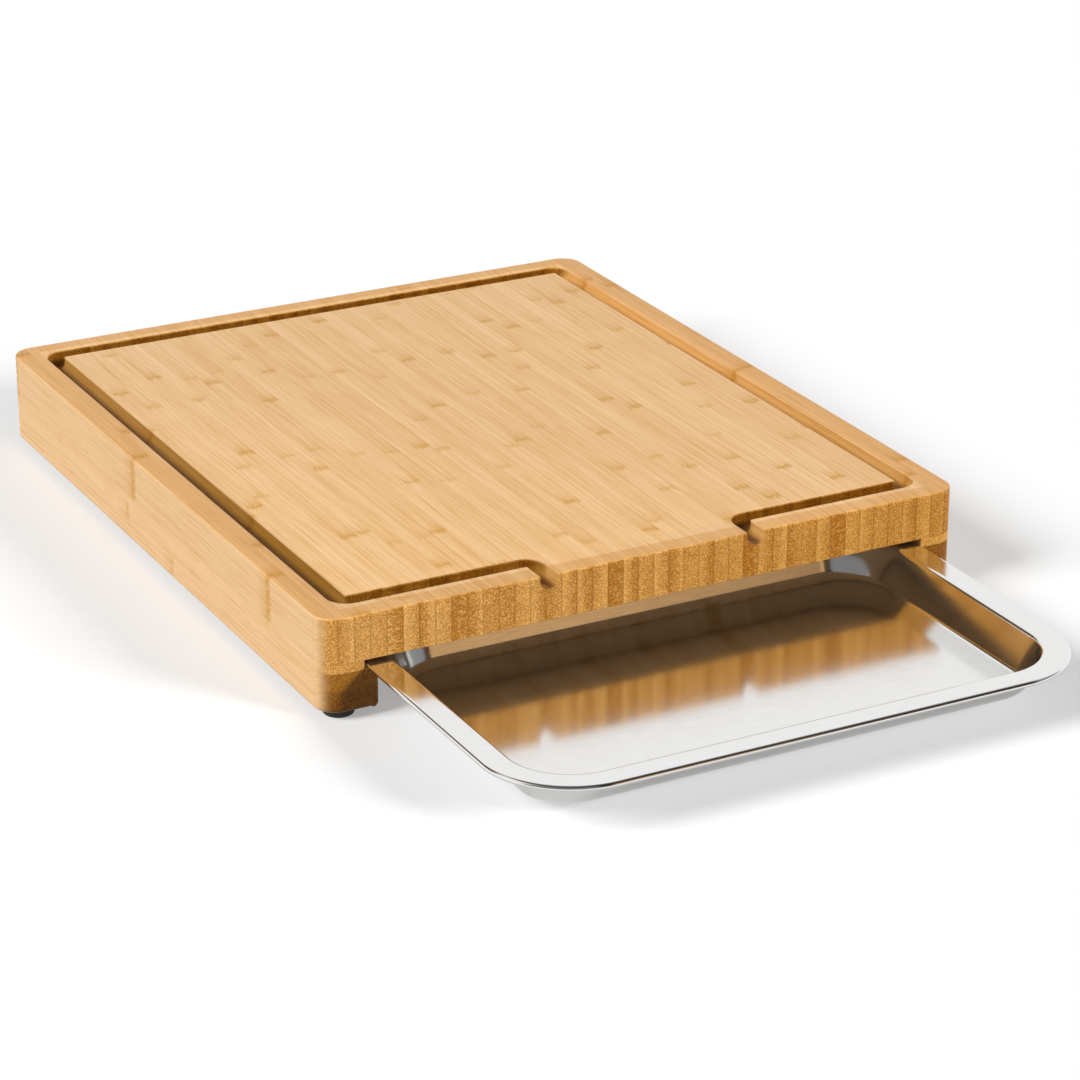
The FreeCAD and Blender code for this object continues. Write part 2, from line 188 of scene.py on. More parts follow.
# ---- Surfaces ----
@dataclass
class Shell:
    """A closed surface gathered from grids and flat faces, welded at the end."""

    points: list[Array] = field(default_factory=list)
    faces: list[list[int]] = field(default_factory=list)
    marks: list[float] = field(default_factory=list)
    count: int = 0

    def _store(self, points: Array) -> int:
        """Keep points and return the number of the first one."""
        first = self.count
        self.points.append(points)
        self.count += len(points)
        return first

    def grid(self, points: Array, closed: bool = False, mark: Union[float, Array] = 0.0) -> None:
        """Quads between the rows and columns of a grid of points.

        Args:
            points: rows by columns by 3.
            closed: whether the last row joins the first.
            mark: what the faces carry for their finish, or one for each column of faces.
        """
        rows, columns = points.shape[:2]
        first = self._store(points.reshape(-1, 3))
        number = first + np.arange(rows * columns).reshape(rows, columns)
        following = np.roll(number, -1, axis=0)
        if not closed:
            number, following = number[:-1], following[:-1]
        quads = np.stack([number[:, :-1], following[:, :-1], following[:, 1:], number[:, 1:]], -1)
        self.faces += quads.reshape(-1, 4).tolist()
        self.marks += np.broadcast_to(mark, quads.shape[:2]).ravel().tolist()

    def face(self, points: Array, mark: float = 0.0) -> None:
        """One flat face round a ring of points."""
        first = self._store(points)
        self.faces.append(list(range(first, first + len(points))))
        self.marks.append(mark)

    def build(self, name: str, lamina: float = 0.0, sharp: float = 38.0) -> Piece:
        """Weld the patches, turn every face outward and make the object.

        Quads and triangles are smooth, and a face with more corners is flat.  Faces keep
        their mark as "hollow" and their layer as "lamina".

        Args:
            name: name of the object.
            lamina: number of the layer of wood, which picks its own piece of cane.
            sharp: faces that meet at more than this angle, in degrees, stay crisp.

        Returns:
            The new object, linked to the scene.
        """
        mesh = bpy.data.meshes.new(name)
        mesh.from_pydata(np.concatenate(self.points) * MM, [], self.faces)
        for label, values in (("painted_shade", self.marks), ("lamina", np.full(len(self.marks), lamina))):
            mesh.attributes.new(label, "FLOAT", "FACE").data.foreach_set("value", values)
        shape = bmesh.new()
        shape.from_mesh(mesh)
        bmesh.ops.remove_doubles(shape, verts=shape.verts, dist=WELD)
        bmesh.ops.dissolve_degenerate(shape, edges=shape.edges, dist=SLIVER)
        bmesh.ops.recalc_face_normals(shape, faces=shape.faces)
        shape.to_mesh(mesh)
        shape.free()
        mesh.shade_smooth()
        sizes = np.empty(len(mesh.polygons), dtype=np.int32)
        mesh.polygons.foreach_get("loop_total", sizes)
        mesh.polygons.foreach_set("use_smooth", sizes <= QUAD)
        mesh.set_sharp_from_angle(angle=math.radians(sharp))
        piece = bpy.data.objects.new(name, mesh)
        bpy.context.scene.collection.objects.link(piece)
        return piece


def level(points: Array, height: float) -> Array:
    """Points of a plane set at one height."""
    return np.column_stack([points, np.full(len(points), height)])


def dress(piece: Piece, finish: Finish, body: str, nodes: Sequence[str] = ()) -> None:
    """Give a piece its finish, the body it moves with and the nodes it stands for."""
    piece.data.materials.append(finish)
    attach(piece, body)
    if nodes:
        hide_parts(*nodes)
    log.info("%s: %d faces, on %s", piece.name, len(piece.data.polygons), body)


# ---- Shader graphs ----
@dataclass
class Graph:
    """Places nodes in one tree and wires them."""

    tree: bpy.types.NodeTree

    def put(self, socket: Socket, value: Value) -> None:
        """Link a socket to another one, or write a plain value into it."""
        if isinstance(value, Socket):
            self.tree.links.new(value, socket)
        elif socket.type == "RGBA" and len(value) == 3:
            socket.default_value = (*value, 1.0)
        else:
            socket.default_value = value

    def node(self, kind: str, inputs: Optional[dict] = None, **settings: object) -> Node:
        """A node with its settings and its inputs, by name or by number."""
        made = self.tree.nodes.new("ShaderNode" + kind)
        for key, setting in settings.items():
            setattr(made, key, setting)
        for key, value in (inputs or {}).items():
            self.put(made.inputs[key], value)
        return made

    def math(self, operation: str, *values: Value, clamp: bool = False) -> Socket:
        """Result of a Math node."""
        made = self.node("Math", dict(enumerate(values)), operation=operation, use_clamp=clamp)
        return made.outputs[0]

    def chain(self, operation: str, values: Sequence[Value], clamp: bool = False) -> Socket:
        """Values joined from the first on by one operation, the last result held in 0 to 1."""
        total = values[0]
        for number, value in enumerate(values[1:], start=2):
            total = self.math(operation, total, value, clamp=clamp and number == len(values))
        return total

    def plus(self, *values: Value, clamp: bool = False) -> Socket:
        """Sum of the values."""
        return self.chain("ADD", values, clamp)

    def times(self, *values: Value, clamp: bool = False) -> Socket:
        """Product of the values."""
        return self.chain("MULTIPLY", values, clamp)

    def most(self, *values: Value) -> Socket:
        """Largest of the values."""
        return self.chain("MAXIMUM", values)

    def least(self, *values: Value) -> Socket:
        """Smallest of the values."""
        return self.chain("MINIMUM", values)

    def minus(self, first: Value, second: Value) -> Socket:
        """First value less the second."""
        return self.math("SUBTRACT", first, second)

    def size(self, value: Value) -> Socket:
        """Value without its sign."""
        return self.math("ABSOLUTE", value)

    def swing(self, value: Value, width: Value = 1.0) -> Socket:
        """Value from 0 to 1 made to swing about zero, width from end to end."""
        return self.times(self.minus(value, 0.5), width)

    def span(self, value: Value, low: float, high: float, new_low: float = 0.0,
             new_high: float = 1.0) -> Socket:
        """Value carried smoothly from one range to another and held in it; either may run down."""
        made = self.node("MapRange", {0: value, 1: low, 2: high, 3: new_low, 4: new_high},
                         interpolation_type="SMOOTHSTEP")
        return made.outputs[0]

    def step(self, value: Value, at: float, fade: float) -> Socket:
        """0 before a place and 1 past it, or the other way with a fade below 0."""
        return self.span(value, at - fade, at + fade)

    def vector(self, operation: str, *values: Value) -> Socket:
        """Result of a Vector Math node."""
        made = self.node("VectorMath", operation=operation)
        for index, value in enumerate(values):
            self.put(made.inputs["Scale" if operation == "SCALE" and index else index], value)
        return made.outputs[0]

    def joined(self, x: Value, y: Value, z: Value) -> Socket:
        """Vector from three numbers."""
        return self.node("CombineXYZ", {0: x, 1: y, 2: z}).outputs[0]

    def split(self, vector: Socket) -> Sockets:
        """The three numbers of a vector."""
        return self.node("SeparateXYZ", {0: vector}).outputs

    def place(self) -> Socket:
        """Place on the object, in millimetres."""
        return self.vector("SCALE", self.node("TexCoord").outputs["Object"], PER_METRE)

    def mark(self, name: str) -> Socket:
        """Value that the mesh carries on its faces under a name."""
        return self.node("Attribute", attribute_name=name).outputs["Fac"]

    def noise(self, place: Socket, scale: float, detail: float = 2.0, rough: float = 0.5,
              pace: Sequence[float] = (1.0, 1.0, 1.0)) -> Socket:
        """Smooth noise between 0 and 1.

        Args:
            place: where it is read.
            scale: cells of its coarsest wave in a millimetre.
            detail: number of finer waves laid over that one.
            rough: strength of each finer wave against the one before.
            pace: how fast it runs along each axis; below 1 it is drawn out.

        Returns:
            The noise.
        """
        inputs = {"Vector": self.vector("MULTIPLY", place, pace), "Scale": scale, "Detail": detail,
                  "Roughness": rough}
        return self.node("TexNoise", inputs).outputs["Fac"]

    def mix(self, share: Value, first: Value, second: Value, blend: str = "MIX") -> Socket:
        """Two colours mixed."""
        made = self.node("Mix", {0: share, 6: first, 7: second}, data_type="RGBA", blend_type=blend)
        return made.outputs[2]

    def bump(self, height: Socket, strength: float, depth: float) -> Socket:
        """Normal of a relief whose depth is given in metres."""
        return self.node("Bump", {"Strength": strength, "Distance": depth, "Height": height}).outputs[0]


def new_finish(name: str) -> tuple[Finish, Graph, Sockets]:
    """Plain material, the graph of its nodes and the inputs of its shader."""
    finish = bpy.data.materials.new(name)
    finish.use_nodes = True
    return finish, Graph(finish.node_tree), finish.node_tree.nodes["Principled BSDF"].inputs


# ---- Bamboo ----
@dataclass(frozen=True)
class Strip:
    """Place across a strip, from 0 to 1, and the strip's own random numbers."""

    inside: Socket
    tone: Socket
    slide: Socket
    kind: Socket
    flip: Socket
    torn: Socket
    reach: Socket


@dataclass(frozen=True)
class Fibres:
    """Place in the cane that a strip was cut from, and masks of what is there."""

    place: Socket
    fine: Socket
    broad: Socket
    hair: Socket
    pore: Socket
    bundle: Socket


@dataclass(frozen=True)
class BambooSolid:
    """Shader group that draws bamboo as a solid, with its fibres along Y.

    Space is cut into strips across X.  Each strip has its own tone, its own shift of
    the fibres and its own places for the joints of the cane.  Bundles are cells drawn
    out along Y, so a cut across them shows dots and a cut along them shows streaks.
    Lengths are in millimetres.
    """

    glue_heights: tuple[float, ...]
    fibre_slide: float = 613.0
    fibre_wander: float = 1.6
    wander_pace: Triple = (0.12, 0.018, 1.0)
    fibre_pace: Triple = (1.0, 0.011, 1.0)
    hair_pace: Triple = (1.0, 0.005, 1.0)
    cell_pace: Triple = (1.0, 0.02, 1.0)
    cell_push: float = 0.9
    joint_slide: float = 977.0
    joint_bend: float = 6.0
    joint_ripple: float = 8.0
    joint_tint: Triple = (0.6, 0.3, 0.055)
    glue_tint: Triple = (0.3, 0.12, 0.02)

    def strip(self, g: Graph, x: Socket, given: Sockets) -> Strip:
        """Number of the strip = floor((x + shift) / pitch), which seeds its random numbers."""
        across = g.math("DIVIDE", g.plus(x, given["Shift"]), given["Pitch"])
        number = g.math("FLOOR", across)
        drawn = []
        for row in (0.5, 7.5):
            made = g.node("TexWhiteNoise", {"Vector": g.joined(number, given["Seed"], row)},
                          noise_dimensions="3D")
            drawn += g.split(made.outputs["Color"])
        return Strip(g.math("FRACT", across), *drawn)

    def fibres(self, g: Graph, x: Socket, y: Socket, z: Socket, strip: Strip) -> Fibres:
        """Fibres that wander a little, with hairs along them and bundles across them."""
        x = g.plus(x, g.times(strip.slide, self.fibre_slide))
        wander = g.noise(g.joined(x, y, z), 1.0, pace=self.wander_pace)
        x = g.plus(x, g.swing(wander, self.fibre_wander))
        place = g.joined(x, y, z)
        fine = g.noise(place, 1.5, 3.0, 0.66, self.fibre_pace)
        broad = g.noise(place, 0.33, pace=self.fibre_pace)
        hair = g.span(g.noise(place, 4.6, 1.0, pace=self.hair_pace), 0.5, 0.72)
        hair = g.times(hair, g.span(broad, 0.35, 0.6, 0.3, 0.95))
        worm = g.noise(place, 1.5, 1.0, pace=self.cell_pace)
        pore = g.span(worm, 0.4, 0.6)
        push = g.vector("SCALE", g.joined(worm, pore, worm), self.cell_push)
        pushed = g.vector("ADD", g.vector("MULTIPLY", place, self.cell_pace), push)
        cells = g.node("TexVoronoi", {"Vector": pushed, "Scale": 1.2, "Randomness": 0.85}, feature="F1")
        bundle = g.span(cells.outputs["Distance"], 0.32, 0.52)
        return Fibres(place, fine, broad, hair, pore, bundle)

    def joints(self, g: Graph, y: Socket, strip: Strip, fibres: Fibres, given: Sockets) -> Socket:
        """Joints of the cane: a short V, one strip wide, with a tail to the back.

        The way past the nearest joint is (fract((y - bend + ripple + slide) / gap) - 0.5)
        * gap, where the bend grows with the distance from the strip's middle.
        """
        ripple = g.noise(fibres.place, 1.0, 3.0, 0.62, (0.8, 0.25, 1.0))
        bend = g.times(g.size(g.swing(strip.inside)), g.times(g.minus(strip.reach, 0.3), self.joint_bend))
        along = g.plus(g.minus(y, bend), g.swing(ripple, self.joint_ripple),
                       g.times(strip.slide, self.joint_slide))
        gap = g.times(given["Joint Gap"], g.plus(0.75, g.times(strip.reach, 0.5)))
        past = g.swing(g.math("FRACT", g.math("DIVIDE", along, gap)), gap)
        grain = g.noise(fibres.place, 1.0, 3.0, 0.65, (1.0, 0.8, 1.0))
        core = g.times(g.span(g.size(past), 3.2, 0.4), g.span(grain, 0.34, 0.56))
        tail = g.times(g.span(past, -0.6, 0.6), g.span(past, 13.0, 0.5),
                       g.plus(0.25, g.times(fibres.pore, 0.35)))
        strength = g.times(g.span(strip.kind, 0.05, 0.9, 0.4, 1.0), given["Joint Strength"])
        return g.times(g.plus(core, tail), strength, clamp=True)

    def long_color(self, g: Graph, strip: Strip, fibres: Fibres, slope: Socket, flank: Socket,
                   given: Sockets) -> Socket:
        """Colour of faces along the fibres: streaks and hairs over the strip's own tone."""
        shade = g.plus(g.times(g.swing(strip.tone, given["Tone Spread"]), 0.26), g.times(slope, 0.1))
        share = g.plus(g.swing(fibres.fine, 1.7), g.swing(fibres.broad, 0.3), fibres.hair,
                       g.times(shade, g.minus(1.0, flank)), g.times(flank, -0.22), 0.32, clamp=True)
        return g.mix(share, given["Pale"], given["Deep"])

    def end_color(self, g: Graph, strip: Strip, fibres: Fibres, slope: Socket, given: Sockets) -> Socket:
        """Colour of faces across the fibres: pale cells, darker between, a few strips torn."""
        tear = g.noise(fibres.place, 1.0, 3.0, 0.6, (0.5, 1.0, 1.1))
        tear = g.times(g.span(strip.torn, 0.86, 0.9), g.span(tear, 0.42, 0.62, 0.05, 0.55))
        share = g.plus(g.times(fibres.bundle, 0.6), g.times(fibres.pore, 0.14), g.swing(strip.tone, 0.2),
                       g.times(slope, 1.1), g.swing(fibres.broad, 0.35), tear, 0.1, clamp=True)
        return g.mix(share, given["End Pale"], given["End Deep"])

    def sockets(self) -> tuple[Graph, Sockets, Sockets]:
        """Graph of the empty group, the sockets that bring its inputs, and its outputs."""
        tree = bpy.data.node_groups.new("bamboo_solid", "ShaderNodeTree")
        for way, kind, labels in (
                ("INPUT", "Vector", ("Position", "Facing")),
                ("INPUT", "Float", ("Pitch", "Shift", "Seed", "Tone Spread", "Joint Gap", "Joint Strength")),
                ("INPUT", "Color", ("Pale", "Deep", "End Pale", "End Deep")),
                ("OUTPUT", "Color", ("Color",)), ("OUTPUT", "Float", ("Height", "Roughness"))):
            for label in labels:
                tree.interface.new_socket(label, in_out=way, socket_type="NodeSocket" + kind)
        return Graph(tree), tree.nodes.new("NodeGroupInput").outputs, tree.nodes.new("NodeGroupOutput").inputs

    def build(self) -> bpy.types.NodeTree:
        """The group, with its colour, its relief and its roughness."""
        g, given, sink = self.sockets()
        x, y, z = g.split(given["Position"])
        facing_x, facing_y, _ = g.split(given["Facing"])
        strip = self.strip(g, x, given)
        fibres = self.fibres(g, x, y, z, strip)
        flank = g.span(g.size(facing_x), 0.5, 0.9)
        end = g.span(g.size(facing_y), 0.3, 0.9)

        # density runs across each strip, one way or the other
        slope = g.times(g.swing(strip.inside), g.swing(strip.flip))
        color = g.mix(self.joints(g, y, strip, fibres, given),
                      self.long_color(g, strip, fibres, slope, flank, given), self.joint_tint)
        color = g.mix(end, color, self.end_color(g, strip, fibres, slope, given))

        # glue lines between the strips, and between the layers of the block
        edge = g.least(strip.inside, g.minus(1.0, strip.inside))
        line = g.span(g.times(edge, given["Pitch"]), 0.5, 0.08)
        layer = g.least(*(g.size(g.minus(z, height)) for height in self.glue_heights))
        layer = g.span(layer, 0.25, 0.05)
        glue = g.most(g.times(line, g.span(end, 0.0, 1.0, 0.07, 0.5)),
                      g.times(layer, g.span(end, 0.0, 1.0, 0.07, 0.3)))
        g.put(sink["Color"], g.mix(glue, color, self.glue_tint))
        g.put(sink["Height"], g.plus(g.times(fibres.fine, 0.6), g.times(fibres.pore, end, -0.5),
                                     g.times(line, -0.5)))
        g.put(sink["Roughness"], g.plus(g.times(fibres.fine, 0.16), g.times(end, 0.12), 0.42))
        return g.tree


@dataclass(frozen=True)
class Bamboo:
    """Oiled bamboo, cut into strips.

    The rim outside the groove is toned where its share is above 0.  The groove carries painted shade
    over the cut surface's own darker tone: it is darker deep down than at its lip, and darker
    on the left than on its other runs.
    """

    name: str
    pitch: float
    shift: float
    seed: float
    tone_spread: float = 1.0
    joint_gap: float = 140.0
    joint_strength: float = 1.0
    rim_share: float = 0.0
    rim_side: float = 138.0
    rim_front: float = -98.0
    rim_back: float = 235.0
    rim_fade: float = 0.4
    rim_tone: Triple = (0.87, 0.78, 0.62)
    pale: Triple = (0.85, 0.55, 0.285)
    deep: Triple = (0.65, 0.35, 0.115)
    end_pale: Triple = (0.98, 0.56, 0.18)
    end_deep: Triple = (0.42, 0.16, 0.014)
    end_tone: Triple = (0.9, 0.83, 0.63)
    # painted shade that the groove is multiplied by: the darkest, on the left run, and the paler one of its
    # other runs
    deepest_groove_shade: Triple = (0.36, 0.27, 0.09)
    routed: Triple = (0.8, 0.7, 0.46)
    specular: float = 0.32

    def groove_shade(self, g: Graph, x: Socket, y: Socket, end: Socket) -> Socket:
        """Painted shade of the routed surface: darkest on the left run, paler at the right, the back and the
        front.
        """
        pale = g.plus(g.times(g.span(x, 110.0, 132.0), 0.75), g.span(y, -60.0, 200.0, 0.0, 0.3),
                      g.span(y, -93.0, -99.0, 0.0, 0.7), clamp=True)
        return g.mix(g.times(pale, g.minus(1.0, end)), self.deepest_groove_shade, self.routed)

    def make(self, solid: bpy.types.NodeTree) -> Finish:
        """Material whose colour, gloss and relief come from the solid bamboo group."""
        finish, g, shader = new_finish(self.name)
        facing = g.node("NewGeometry").outputs["Normal"]
        seed = g.plus(g.times(g.mark("lamina"), 2.0), self.seed)
        place = g.place()
        own = {"Position": place, "Facing": facing, "Pitch": self.pitch, "Shift": self.shift, "Seed": seed,
               "Tone Spread": self.tone_spread, "Joint Gap": self.joint_gap,
               "Joint Strength": self.joint_strength, "Pale": self.pale, "Deep": self.deep,
               "End Pale": self.end_pale, "End Deep": self.end_deep}
        grain = g.node("Group", own, node_tree=solid).outputs
        x, y, z = g.split(place)
        _, facing_y, facing_z = g.split(facing)
        end = g.size(facing_y)
        rim = g.most(g.step(g.size(x), self.rim_side, self.rim_fade),
                     g.step(y, self.rim_front, -self.rim_fade), g.step(y, self.rim_back, self.rim_fade))
        rim = g.times(rim, g.span(facing_z, 0.7, 0.95), self.rim_share)
        color = g.mix(rim, grain["Color"], self.rim_tone, "MULTIPLY")
        color = g.mix(g.times(end, g.span(x, -140.0, 140.0)), color, self.end_tone, "MULTIPLY")
        # painted shade in the groove: full from a millimetre below the top down, a quarter at the lip
        painted_shade = g.times(g.mark("painted_shade"), g.span(z, 43.9, 44.9, 1.0, 0.25))
        color = g.mix(painted_shade, color, self.groove_shade(g, x, y, end), "MULTIPLY")
        g.put(shader["Base Color"], color)
        g.put(shader["Roughness"], grain["Roughness"])
        shader["Specular IOR Level"].default_value = self.specular
        g.put(shader["Normal"], g.bump(grain["Height"], 0.35, 0.00012))
        return finish


# ---- Metal and rubber ----
@dataclass(frozen=True)
class BrushedSteel:
    """Fine brushed stainless sheet."""

    tint: Triple = (0.85, 0.846, 0.838)
    # painted shade: the outer skin and the floor's underside get this darker tint, standing in for the
    # shadowed floor that they mirror
    outside: Triple = (0.52, 0.515, 0.505)
    marked: float = 0.93
    low: float = 0.08
    high: float = 0.16

    def make(self) -> Finish:
        """Material with long brush marks across the tray and a faint unevenness."""
        finish, g, shader = new_finish("tray_steel")
        marks = g.noise(g.place(), 6.0, 3.0, 0.7, (0.02, 1.0, 1.0))
        broad = g.noise(g.place(), 0.03)
        shade = g.mix(g.span(marks, 0.3, 0.7), self.tint, tuple(self.marked * part for part in self.tint))
        # the darker outside tint, painted shade, goes where the mark is set
        g.put(shader["Base Color"], g.mix(g.mark("painted_shade"), shade, self.outside))
        shader["Metallic"].default_value = 1.0
        rough = g.span(marks, 0.3, 0.7, self.low, self.high)
        g.put(shader["Roughness"], g.plus(rough, g.times(broad, 0.04)))
        g.put(shader["Normal"], g.bump(marks, 0.12, 0.00002))
        return finish


@dataclass(frozen=True)
class Rubber:
    """Matt black rubber."""

    tint: Triple = (0.018, 0.018, 0.02)
    dust_tint: Triple = (0.05, 0.048, 0.045)

    def make(self) -> Finish:
        """Material with a fine moulded grain and a little dust on it."""
        finish, g, shader = new_finish("foot_rubber")
        grain = g.noise(g.place(), 4.0, 3.0)
        dust = g.span(g.noise(g.place(), 0.4), 0.5, 0.8, 0.0, 0.3)
        g.put(shader["Base Color"], g.mix(dust, self.tint, self.dust_tint))
        g.put(shader["Roughness"], g.span(grain, 0.3, 0.7, 0.5, 0.68))
        g.put(shader["Normal"], g.bump(grain, 0.3, 0.00005))
        return finish


@dataclass(frozen=True)
class ZincPlate:
    """Zinc plated steel of the foot screws."""

    tint: Triple = (0.62, 0.63, 0.64)
    dull: Triple = (0.5, 0.5, 0.49)

    def make(self) -> Finish:
        """Metal with the faint spangle of plating."""
        finish, g, shader = new_finish("screw_zinc")
        spangle = g.noise(g.place(), 1.5, 3.0)
        g.put(shader["Base Color"], g.mix(spangle, self.tint, self.dull))
        shader["Metallic"].default_value = 1.0
        g.put(shader["Roughness"], g.span(spangle, 0.3, 0.7, 0.28, 0.42))
        return finish


# ---- The board ----
@dataclass
class Panel:
    """Panel of upright strips with the routed juice groove and its two spouts."""

    block: Block
    groove_half: float = 4.0
    groove_depth: float = 6.4
    groove_inset: float = 15.75
    groove_bend: float = 5.0
    spout: float = 48.7
    lip: float = 0.35
    below_edge: float = 0.4
    edge_steps: int = 7
    nose_steps: int = 10
    route_steps: int = 12
    corner_steps: int = 16

    def heights(self) -> Array:
        """Heights down the rounded edge: top - r * (1 - sin(a)) for a from 90 to 0 degrees."""
        angle = np.radians(np.linspace(90.0, 0.0, self.edge_steps + 1))
        return self.block.top - self.block.edge * (1.0 - np.sin(angle))

    def rolled(self, flat: float, radius: float, height: Array) -> Array:
        """Flat face stepping back over the rounded edge at its top: flat + r - sqrt(r^2 - over^2)."""
        over = np.maximum(height - (self.block.top - radius), 0.0)
        return flat + radius - np.sqrt(np.maximum(radius ** 2 - over ** 2, 0.0))

    def groove_section(self) -> Array:
        """Half of a U, upright walls and a round nose, then its mirror image."""
        wall = self.heights()
        spring = self.block.top - self.groove_depth + self.groove_half
        upright = np.column_stack([self.rolled(self.groove_half, self.lip, wall), wall])
        nose = fillet((0.0, spring), self.groove_half, 0.0, -90.0, self.nose_steps)
        half = np.concatenate([upright, nose])
        return np.concatenate([half, half[-2::-1] * (-1.0, 1.0)])

    def route(self) -> Curve:
        """Line that the cutter follows, from the left spout round to the right one."""
        b = self.block
        side = b.half_width - self.groove_inset
        near, far = b.front + self.groove_inset, b.back - self.groove_inset
        corners = ((-self.spout, b.front), (-self.spout, near), (-side, near), (-side, far),
                   (side, far), (side, near), (self.spout, near), (self.spout, b.front))
        return rounded(corners, self.groove_bend, closed=False, steps=self.route_steps)

    def build(self) -> Piece:
        """Groove, two flat parts of the top, the outer faces and the underside."""
        b = self.block
        shell = Shell()
        section = self.groove_section()
        groove = self.route().carry(section)
        groove[[0, -1], :, 1] = self.rolled(b.front, b.edge, section[:, 1])
        # the groove's faces carry the mark for their painted shade
        shell.grid(groove, mark=1.0)

        outline = self.outline()
        outer_lip, inner_lip = groove[:, 0, :2], groove[:, -1, :2]
        shell.face(level(inner_lip, b.top))
        shell.face(level(np.concatenate([outer_lip, outline.offset(b.edge)]), b.top))

        heights = self.heights()
        inset = self.rolled(b.front, b.edge, heights) - b.front
        low = b.top - b.edge
        crisp = low - self.below_edge
        outside = np.concatenate([[[0.0, b.panel_floor], [0.0, crisp]],
                                  np.column_stack([inset, heights])[::-1]])
        shell.grid(outline.carry(outside))

        half = self.rolled(self.groove_half, self.lip, heights)
        corner = b.half_width - b.corner
        for start, end in ((np.full_like(half, -corner), -self.spout - half),
                           (-self.spout + half, self.spout - half),
                           (self.spout + half, np.full_like(half, corner))):
            strip = np.stack([np.column_stack([x, b.front + inset, heights]) for x in (start, end)])
            shell.grid(strip)

        notch = section[section[:, 1] <= low + SLACK]
        face = np.concatenate([
            [[-corner, b.panel_floor], [corner, b.panel_floor], [corner, crisp], [corner, low]],
            notch + (self.spout, 0.0), notch - (self.spout, 0.0), [[-corner, low], [-corner, crisp]]])
        shell.face(np.column_stack([face[:, 0], np.full(len(face), b.front), face[:, 1]]))
        shell.face(level(outline.points, b.panel_floor))
        return shell.build("board_panel")

    def outline(self) -> Curve:
        """Outer edge from the front right corner round the back to the front left one."""
        b = self.block
        corner = b.half_width - b.corner
        corners = ((corner, b.front), (b.half_width, b.front), (b.half_width, b.back),
                   (-b.half_width, b.back), (-b.half_width, b.front), (-corner, b.front))
        return rounded(corners, b.corner, closed=False, steps=self.corner_steps)


@dataclass
class Runners:
    """Spacer and the two rail laminae along each side."""

    block: Block
    inner_round: float = 0.5
    above_round: float = 0.3
    corner_steps: int = 14
    edge_steps: int = 7

    def strip(self, name: str, side: Side, width: float, low: float, high: float,
              round_low: float, lamina: float) -> Piece:
        """Strip along one side with two rounded outer corners.

        The upright section, which starts with a quarter round where round_low isn't zero,
        is carried round the strip's outline.

        Args:
            name: name of the object.
            side: side of the block.
            width: width of the strip.
            low: height of its underside.
            high: height of its upper side.
            round_low: radius of its lower outer edge.
            lamina: number of the layer of wood.

        Returns:
            The strip.
        """
        b = self.block
        outer, inner = b.half_width, b.half_width - width
        plan = rounded(((inner, b.front), (outer, b.front), (outer, b.back), (inner, b.back)),
                       (self.inner_round, b.corner, b.corner, self.inner_round), closed=True,
                       steps=self.corner_steps)
        if side is Side.LEFT:
            plan = Curve(plan.points[::-1] * (-1.0, 1.0), plan.normals[::-1] * (-1.0, 1.0))
        section = np.array([[0.0, low], [0.0, high]])
        if round_low > 0.0:
            arc = fillet((round_low, low + round_low), round_low, -90.0, -180.0, self.edge_steps)
            section = np.concatenate([arc, [[0.0, low + round_low + self.above_round], [0.0, high]]])
        shell = Shell()
        shell.grid(plan.carry(section), closed=True)
        shell.face(level(plan.offset(section[0, 0]), low))
        shell.face(level(plan.points, high))
        return shell.build(name, lamina)

    def build(self) -> dict[str, Piece]:
        """The six strips, by the name of the node that each one stands for."""
        b = self.block
        layers = (("_spacer", "_slot_strip", b.spacer_width, b.ledge, b.panel_floor, 0.0),
                  ("_rail_upper", "_ledge_lamina", b.rail_width, b.rail_joint, b.ledge, 0.0),
                  ("_rail_lower", "_foot_lamina", b.rail_width, b.rail_floor, b.rail_joint,
                   b.lower_edge))
        made = {}
        for side in Side:
            word = side.name.lower()
            # 0.5, 1.0 and 1.5 on the left, 1.5, 3.0 and 4.5 on the right: no strips that meet match
            for number, (node, own, width, low, high, round_low) in enumerate(layers, start=1):
                made[word + node] = self.strip(word + own, side, width, low, high, round_low,
                                               number * (1.0 + side.value * 0.5))
        return made


